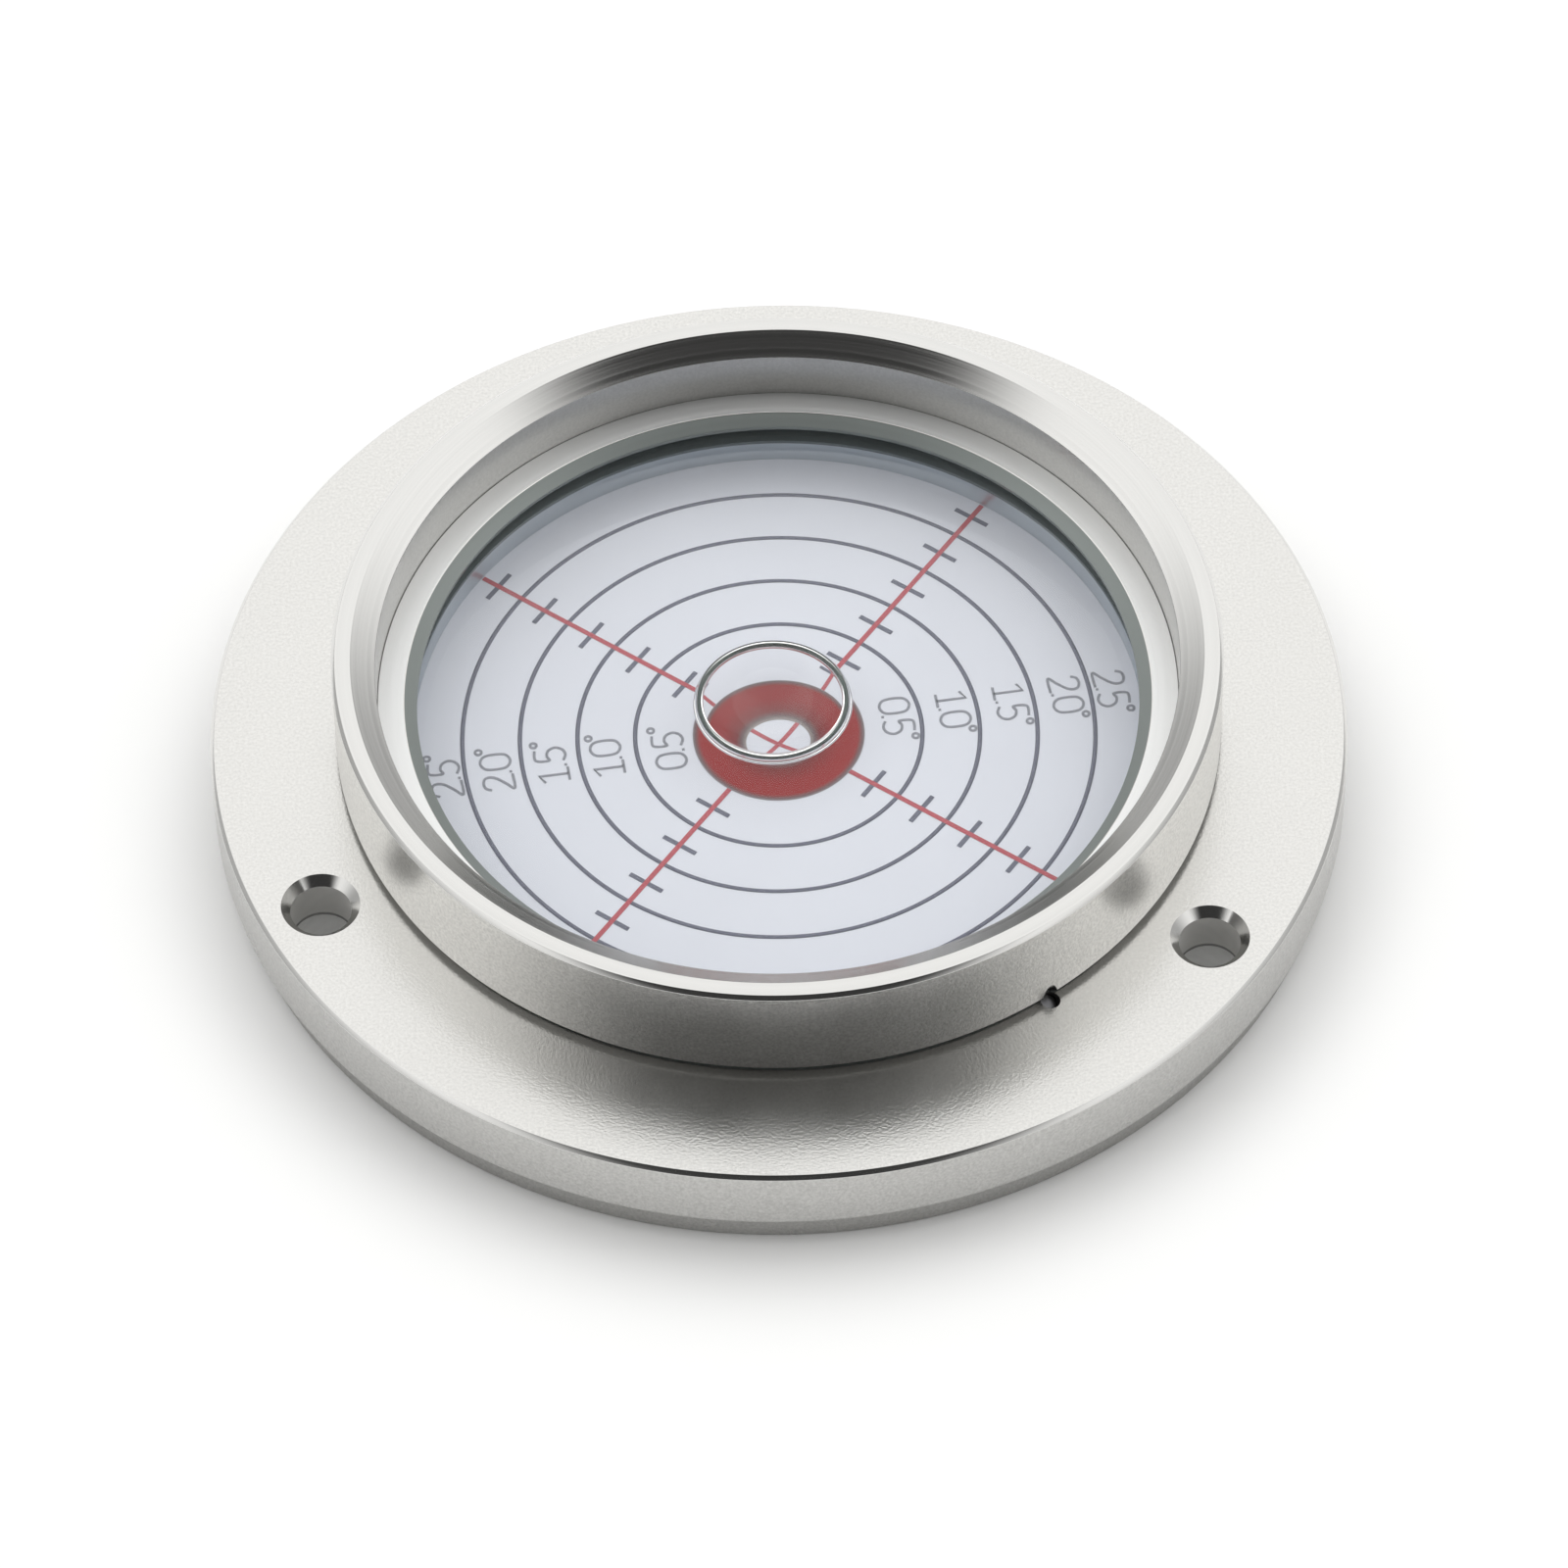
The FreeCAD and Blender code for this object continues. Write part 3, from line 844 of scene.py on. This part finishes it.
class LEVEL_OT_housing(Operator):
    """Builds the vial housing with its collar and funnel."""

    bl_idname = "level.housing"
    bl_label = "Vial housing"

    def execute(self, context):
        sizes = context.scene.level_housing
        radius = outer_radius("vial_housing")
        top, base = head("vial_housing"), foot("vial_housing")
        seat, floor = foot("window_seal"), foot("dial_plate")
        spigot = radius - sizes.spigot_step
        bore = radius - sizes.collar_wall
        chamber = bore - sizes.seat_width
        funnel = radius - sizes.top_cut - sizes.rim_flat
        collar_foot = FLANGE_TOP + sizes.seam
        foot_rounding = 0.1 * MM
        # Painted light and shade: the collar's wall takes a lighter copy of the aluminium, and its bore and
        # foot cut take darker ones.
        housing = turned("housing", [
            corner(0.0, base, "turned_underside"),
            corner(spigot, base, "turned_underside", UNDER_EDGE, "bright_cut"),
            corner(spigot, collar_foot, "chamber_wall"),
            corner(radius - sizes.foot_cut, collar_foot, "foot_cut", foot_rounding),
            corner(radius, collar_foot + sizes.foot_cut, "collar_wall", foot_rounding),
            corner(radius, top - sizes.top_cut, "bright_cut", SOFT_EDGE),
            corner(radius - sizes.top_cut, top, "rim_flat", SOFT_EDGE),
            corner(funnel, top, "polished_funnel", SOFT_EDGE),
            corner(bore, top - sizes.funnel_depth, "satin_bore", SOFT_EDGE),
            *even("chamber_wall", (bore, seat), (chamber, seat), (chamber, floor), (0.0, floor))])
        cut(housing, [pin_cutter(sizes), self.plug_cutter(floor)])
        smooth(housing)
        finish_piece(housing, "flange_metal", "vial_housing")
        return {"FINISHED"}

    def plug_cutter(self, floor):
        """Drill for the stepped hole that takes the fill plug and its seal."""
        low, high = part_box("fill_plug")
        step = head("fill_plug_seal")
        clearance = 0.02 * MM
        wide = (high.x - low.x) / 2 + clearance
        narrow = 2 * MM + clearance
        start, end = low.z - DRILL_REACH, floor + DRILL_REACH
        return turned("plug_drill", even(
            "drilled_bore", (0.0, start), (wide, start), (wide, step), (narrow, step), (narrow, end),
            (0.0, end)), steps=HOLE_STEPS, turn_centre=((low.x + high.x) / 2, (low.y + high.y) / 2))


class LEVEL_OT_retaining_ring(Operator):
    """Builds the ring that holds the glass down."""

    bl_idname = "level.retaining_ring"
    bl_label = "Retaining ring"

    def execute(self, context):
        low, high = foot("retaining_ring"), head("retaining_ring")
        close_fit = 0.09 * MM
        radius = outer_radius("retaining_ring") + close_fit
        bore = outer_radius("spirit_fill")
        flare, lip, lip_height = 0.5 * MM, 0.5 * MM, 0.3 * MM
        outer_rounding, inner_rounding = 0.08 * MM, 0.16 * MM
        # Painted shade: the inner cone takes a dark finish, while the top takes a bright satin one.
        ring = turned("ring", [
            *even("ring_satin", (bore - lip, low), (radius, low)),
            corner(radius, high, "ring_satin", outer_rounding),
            corner(bore + flare, high, "ring_cone", inner_rounding, "bright_cut"),
            corner(bore - lip, low + lip_height, "ring_cone")])
        smooth(ring)
        finish_piece(ring, "ring_metal", "retaining_ring")
        return {"FINISHED"}


def crown_height(ground_radius):
    """Height of the glass's concave underside at the axis."""
    lens = outer_radius("spirit_fill")
    return foot("glass_window") + ground_radius - math.sqrt(ground_radius ** 2 - lens ** 2)


def lens_curve(radius, crown, ground_radius, finish):
    """Outline of the concave underside, from the axis outwards."""
    curve = []
    for step in range(LENS_STEPS + 1):
        here = radius * step / LENS_STEPS
        curve.append(corner(here, crown - ground_radius + math.sqrt(ground_radius ** 2 - here ** 2), finish))
    return curve


class LEVEL_OT_glass(Operator):
    """Builds the flat-topped glass with its concave underside."""

    bl_idname = "level.glass"
    bl_label = "Glass"

    def execute(self, context):
        optic = context.scene.level_optic
        crown = crown_height(optic.ground_radius)
        radius = outer_radius("glass_window")
        low, high = foot("glass_window"), head("glass_window")
        glass = turned("glass", [
            *lens_curve(outer_radius("spirit_fill"), crown, optic.ground_radius, "wetted_glass"),
            corner(radius, low, "polished_glass", optic.edge_round),
            corner(radius, high, "polished_glass", optic.edge_round),
            corner(0.0, high, "polished_glass")])
        smooth(glass)
        finish_piece(glass, "window_glass", "glass_window")
        return {"FINISHED"}


class LEVEL_OT_liquid(Operator):
    """Builds the liquid with the bubble as a hollow in its top."""

    bl_idname = "level.liquid"
    bl_label = "Liquid and bubble"

    def execute(self, context):
        optic = context.scene.level_optic
        wall_overlap, dial_overlap = 0.02 * MM, 0.05 * MM
        radius = outer_radius("spirit_fill") + wall_overlap
        low = DIAL_TOP - dial_overlap
        crown = crown_height(optic.ground_radius) - optic.film
        widest = crown - optic.bubble_flank
        liquid = turned("liquid", [
            *even("clear_spirit", (0.0, low), (radius, low)),
            *reversed(lens_curve(radius, crown, optic.ground_radius, "clear_spirit"))])
        cut(liquid, [self.bubble_cutter(optic, widest, crown + 0.1 * MM)])
        smooth(liquid)
        finish_piece(liquid, "spirit_clear", "spirit_fill")
        edge, fine_edge = optic.bubble_edge, 0.45 * optic.bubble_edge
        self.bubble_rim("bubble_upper_rim", optic, optic.bubble_radius - edge, crown - edge, edge)
        self.bubble_rim("bubble_lower_rim", optic, optic.bubble_radius, widest, fine_edge)
        return {"FINISHED"}

    def bubble_cutter(self, optic, widest, top):
        """Body of the bubble: a dome below its widest height, and above it a flank that draws in."""
        radius = optic.bubble_radius
        bend, fullness = 1.7, 0.77
        outline = []
        for step in range(DOME_STEPS + 1):
            share = step / DOME_STEPS
            sag = (optic.bubble_depth - optic.bubble_flank) * (1 - share ** bend) ** fullness
            outline.append((radius * share, widest - sag))
        outline += [(radius - 2 * optic.bubble_edge, top), (0.0, top)]
        return turned(
            "bubble", even("bubble_wall", *outline), steps=FINE_STEPS, turn_centre=optic.bubble_place)

    def bubble_rim(self, finish, optic, radius, height, thickness):
        """Curved edge of the bubble: a fine bright ring whose finish paints a dark reflection along its
        crest.
        """
        outline = [(radius + x, height + y) for x, y in turned_places(thickness, RIM_STEPS)]
        ring = turned(finish, even(finish, *outline), steps=FINE_STEPS, turn_centre=optic.bubble_place)
        smooth(ring)
        finish_piece(ring, "spirit_clear")


class LEVEL_OT_dial(Operator):
    """Builds the white dial that carries the scale."""

    bl_idname = "level.dial"
    bl_label = "Dial"

    def execute(self, context):
        play = 0.01 * MM
        radius = outer_radius("spirit_fill") - play
        low = foot("dial_plate")
        dial = turned("dial", even(
            "satin_white", (0.0, low), (radius, low), (radius, DIAL_TOP), (0.0, DIAL_TOP)))
        smooth(dial)
        finish_piece(dial, "dial_white", "dial_plate")
        return {"FINISHED"}


class LEVEL_OT_scale(Operator):
    """Builds the rings, ticks and centre ring of the scale."""

    bl_idname = "level.scale"
    bl_label = "Scale"

    def execute(self, context):
        sizes = context.scene.level_scale
        inner, outer = sizes.zero_hole, sizes.zero_radius
        below_red = 0.01 * MM
        shared = {
            "Step": sizes.step, "Thickness": PRINT_TOP - DIAL_TOP - below_red, "Height": DIAL_TOP,
            "Ink": bpy.data.materials["grey_ink"]}
        rings = run_tree("ring_lines", make_ring_tree(), {
            **shared, "First Radius": outer + sizes.step, "Count": sizes.ring_count,
            "Line Width": sizes.line_width, "Segments": RING_SEGMENTS})
        finish_piece(rings, "print_grey", "scale_rings")
        ticks = run_tree("tick_marks", make_tick_tree(), {
            **shared, "First Radius": outer + sizes.step / 2, "Count": sizes.ring_count + 1, "Arms": 4,
            "Arm Angle": sizes.cross_angle, "Length": sizes.tick_length, "Width": sizes.tick_width})
        finish_piece(ticks, "print_grey", "scale_ticks")
        centre = turned("centre_mark", even(
            "centre_red", (inner, DIAL_TOP), (outer, DIAL_TOP), (outer, PRINT_TOP), (inner, PRINT_TOP)),
            steps=FINE_STEPS)
        smooth(centre)
        finish_piece(centre, "print_red", "centre_ring")
        return {"FINISHED"}


# Numerals as strokes (points, whether curved, whether closed) on a square one unit high


NUMERALS = {
    ".": [([(0.04, 0.0), (0.04, 0.09)], False, False)],
    "0": [([(0.36, 1.0), (0.10, 0.86), (0.04, 0.5), (0.10, 0.14), (0.36, 0.0), (0.62, 0.14), (0.68, 0.5),
            (0.62, 0.86)], True, True)],
    "1": [([(0.10, 0.80), (0.40, 1.0), (0.40, 0.0)], False, False),
          ([(0.12, 0.0), (0.68, 0.0)], False, False)],
    "2": [([(0.08, 0.76), (0.17, 0.94), (0.37, 1.0), (0.58, 0.93), (0.63, 0.74), (0.54, 0.53), (0.30, 0.26),
            (0.06, 0.0), (0.68, 0.0)], True, False)],
    "5": [([(0.60, 1.0), (0.18, 1.0), (0.13, 0.56), (0.32, 0.62), (0.54, 0.55), (0.65, 0.32), (0.55, 0.09),
            (0.32, 0.0), (0.08, 0.10)], True, False)],
}
NUMERAL_WIDTH = 0.74
POINT_WIDTH = 0.16
DEGREE_RADIUS = 0.105
DEGREE_STEPS = 20
CURVE_PARTS = 6
# Text of each number, and its distance from the centre on the right and on the left, in millimetres
LABELS = (
    ("0.5", 9.5, 8.8), ("1.0", 14.1, 13.8), ("1.5", 18.7, 18.2), ("2.0", 23.2, 22.6), ("2.5", 26.8, 26.7))


def smooth_line(points, closed):
    """Points on a smooth curve through the given ones. Ends and sharp turns stay."""
    count = len(points)
    line = []
    for index in range(count if closed else count - 1):
        here, after = Vector(points[index]), Vector(points[(index + 1) % count])
        before = Vector(points[index - 1]) if closed or index else here
        beyond = Vector(points[(index + 2) % count]) if closed or index < count - 2 else after
        for part in range(CURVE_PARTS):
            share = part / CURVE_PARTS
            line.append(0.5 * (
                2 * here + (after - before) * share
                + (2 * before - 5 * here + 4 * after - beyond) * share ** 2
                + (3 * here - before - 3 * after + beyond) * share ** 3))
    if not closed:
        line.append(Vector(points[-1]))
    return line


class LEVEL_OT_numerals(Operator):
    """Builds the tilt numerals beside each ring."""

    bl_idname = "level.numerals"
    bl_label = "Numerals"

    def execute(self, context):
        sizes = context.scene.level_scale
        built = bmesh.new()
        for side in (0, 1):
            for text, *radii in LABELS:
                self.add_label(built, sizes, text, radii[side] * MM, sizes.numeral_angle + side * math.pi)
        mesh = bpy.data.meshes.new("numerals")
        built.to_mesh(mesh)
        built.free()
        mesh.materials.append(bpy.data.materials["numeral_ink"])
        finish_piece(new_piece("numerals", mesh), "print_grey")
        return {"FINISHED"}

    def add_label(self, built, sizes, text, radius, angle):
        """Adds one number with its degree ring, its digits' tops outwards."""
        tall = sizes.numeral_height
        width = (len(text) - 1) * NUMERAL_WIDTH + POINT_WIDTH + 2 * DEGREE_RADIUS
        outwards = Vector((math.cos(angle), math.sin(angle)))
        reading = Vector((math.sin(angle), -math.cos(angle)))
        origin = outwards * (radius - tall / 2) - reading * (width * tall / 2)

        def draw(line, start, closed):
            """Adds one stroke of a character that begins at start."""
            placed = [origin + reading * ((start + x) * tall) + outwards * (y * tall) for x, y in line]
            self.add_stroke(built, placed, sizes.numeral_stroke / 2, closed)

        start = 0.0
        for character in text:
            for points, curved, closed in NUMERALS[character]:
                draw(smooth_line(points, closed) if curved else points, start, closed)
            start += POINT_WIDTH if character == "." else NUMERAL_WIDTH
        degree = [(x, 1.0 + y) for x, y in turned_places(DEGREE_RADIUS, DEGREE_STEPS)]
        draw(degree, start + DEGREE_RADIUS, True)

    def add_stroke(self, built, line, half_width, closed):
        """Adds a flat bar of even width that follows a line on the dial."""
        count = len(line)
        sections = []
        for index, here in enumerate(line):
            before = line[index - 1] if closed or index else here
            after = line[(index + 1) % count] if closed or index < count - 1 else here
            along = (after - before).normalized()
            half = Vector((-along.y, along.x)) * half_width
            sections.append([
                built.verts.new((*(here + half * side), height))
                for side, height in ((-1, DIAL_TOP), (1, DIAL_TOP), (1, PRINT_TOP), (-1, PRINT_TOP))])
        for index in range(count if closed else count - 1):
            near, far = sections[index], sections[(index + 1) % count]
            for side in range(4):
                after = (side + 1) % 4
                built.faces.new([near[side], near[after], far[after], far[side]])
        if not closed:
            built.faces.new(sections[0][::-1])
            built.faces.new(sections[-1])


class LEVEL_OT_small_parts(Operator):
    """Gives the pieces that keep their form from the frame their finishes."""

    bl_idname = "level.small_parts"
    bl_label = "Small parts"

    def execute(self, context):
        for node, finish in (
                ("retaining_ring_gasket", "moulded_rubber"), ("window_seal", "clear_seal"),
                ("fill_plug_seal", "moulded_rubber"), ("fill_plug", "turned_brass"),
                ("housing_lock_pin", "ground_steel"), ("cross_lines", "red_ink")):
            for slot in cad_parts[node].material_slots:
                slot.material = bpy.data.materials[finish]
        return {"FINISHED"}


class LEVEL_OT_stage(Operator):
    """Builds the floor, the light tent and the camera."""

    bl_idname = "level.stage"
    bl_label = "Stage"

    def execute(self, context):
        studio = context.scene.level_studio
        self.add_floor(studio)
        self.add_tent(context.scene, studio)
        self.add_lamp(context.scene, studio)
        self.add_camera(context.scene, studio)
        context.scene.view_settings.view_transform = "Standard"
        return {"FINISHED"}

    def add_floor(self, studio):
        """Pale matt floor."""
        tree, shader = new_finish("floor_white")
        fill(tree, shader, {
            "Base Color": (0.92, 0.92, 0.915, 1.0), "Roughness": 0.9, "Specular IOR Level": 0.0})
        mesh = bpy.data.meshes.new("floor")
        built = bmesh.new()
        bmesh.ops.create_grid(built, x_segments=1, y_segments=1, size=studio.floor_size / 2)
        bmesh.ops.translate(built, verts=built.verts, vec=(0.0, 0.0, -studio.floor_drop))
        built.to_mesh(mesh)
        built.free()
        mesh.materials.append(bpy.data.materials["floor_white"])
        new_piece("floor", mesh)

    def add_tent(self, scene, studio):
        """White tent with a soft dark opening on the camera's side."""
        scene.world = bpy.data.worlds.new("tent")
        scene.world.use_nodes = True
        tree = scene.world.node_tree
        direction = add_node(tree, "ShaderNodeTexCoord").outputs["Generated"]
        opening = (0.0, -math.cos(studio.gap_elevation), math.sin(studio.gap_elevation))
        facing = add_node(tree, "ShaderNodeVectorMath", {0: direction, 1: opening}, operation="DOT_PRODUCT")
        fade = remap(
            tree, maths(tree, "ARCCOSINE", facing.outputs["Value"]), studio.gap_size - studio.gap_softness,
            studio.gap_size + studio.gap_softness, studio.gap_strength, studio.tent_strength, "SMOOTHSTEP")
        height = add_node(tree, "ShaderNodeSeparateXYZ", {"Vector": direction}).outputs["Z"]
        skirt = remap(
            tree, height, math.sin(studio.skirt_low), math.sin(studio.skirt_high), studio.skirt_share, 1.0,
            "SMOOTHSTEP")
        fill(tree, tree.nodes["Background"], {
            "Color": (1.0, 1.0, 0.992, 1.0), "Strength": maths(tree, "MULTIPLY", fade, skirt)})

    def add_lamp(self, scene, studio):
        """Broad soft lamp overhead, which lifts the floor and the dial but makes no glint on metal."""
        data = bpy.data.lights.new("overhead", "SUN")
        data.energy = studio.lamp_strength
        data.angle = studio.lamp_spread
        lamp = bpy.data.objects.new("overhead", data)
        lamp.rotation_euler.x = -studio.lamp_tilt
        lamp.visible_glossy = False
        scene.collection.objects.link(lamp)

    def add_camera(self, scene, studio):
        """Camera at the reference view's angle."""
        elevation, roll = studio.camera_elevation, studio.camera_roll
        forward = Vector((0.0, math.cos(elevation), -math.sin(elevation)))
        right = Vector((1.0, 0.0, 0.0))
        upwards = Vector((0.0, math.sin(elevation), math.cos(elevation)))
        camera_right = right * math.cos(roll) + upwards * math.sin(roll)
        camera_up = upwards * math.cos(roll) - right * math.sin(roll)
        data = bpy.data.cameras.new("camera")
        data.lens = studio.camera_lens
        data.sensor_width = 36.0
        data.sensor_fit = "HORIZONTAL"
        data.clip_start = 0.01
        camera = bpy.data.objects.new("camera", data)
        turn = Matrix((camera_right, camera_up, -forward)).transposed()
        aim = Vector((*studio.aim, FLANGE_TOP))
        camera.matrix_world = Matrix.Translation(aim - forward * studio.camera_distance) @ turn.to_4x4()
        scene.collection.objects.link(camera)
        scene.camera = camera


class LEVEL_PT_panel(Panel):
    """Lists the steps that build the level."""

    bl_idname = "LEVEL_PT_panel"
    bl_label = "Bullseye level"
    bl_space_type = "VIEW_3D"
    bl_region_type = "UI"
    bl_category = "Level"

    def draw(self, context):
        for step in STEPS:
            self.layout.operator(step.bl_idname)


STEPS = (
    LEVEL_OT_finishes, LEVEL_OT_flange, LEVEL_OT_housing, LEVEL_OT_retaining_ring, LEVEL_OT_glass,
    LEVEL_OT_liquid, LEVEL_OT_dial, LEVEL_OT_scale, LEVEL_OT_numerals, LEVEL_OT_small_parts, LEVEL_OT_stage,
)
SETTINGS = {
    "level_flange": FlangeSizes,
    "level_housing": HousingSizes,
    "level_optic": OpticSizes,
    "level_scale": ScaleSizes,
    "level_colours": FinishColours,
    "level_studio": StudioSettings,
}


def register():
    for name, group in SETTINGS.items():
        bpy.utils.register_class(group)
        setattr(bpy.types.Scene, name, PointerProperty(type=group))
    for step in (*STEPS, LEVEL_PT_panel):
        bpy.utils.register_class(step)


def unregister():
    for step in (LEVEL_PT_panel, *reversed(STEPS)):
        bpy.utils.unregister_class(step)
    for name, group in SETTINGS.items():
        delattr(bpy.types.Scene, name)
        bpy.utils.unregister_class(group)


def main():
    """Builds the whole level."""
    register()
    for step in STEPS:
        family, name = step.bl_idname.split(".")
        getattr(getattr(bpy.ops, family), name)()


if __name__ == "__main__":
    main()
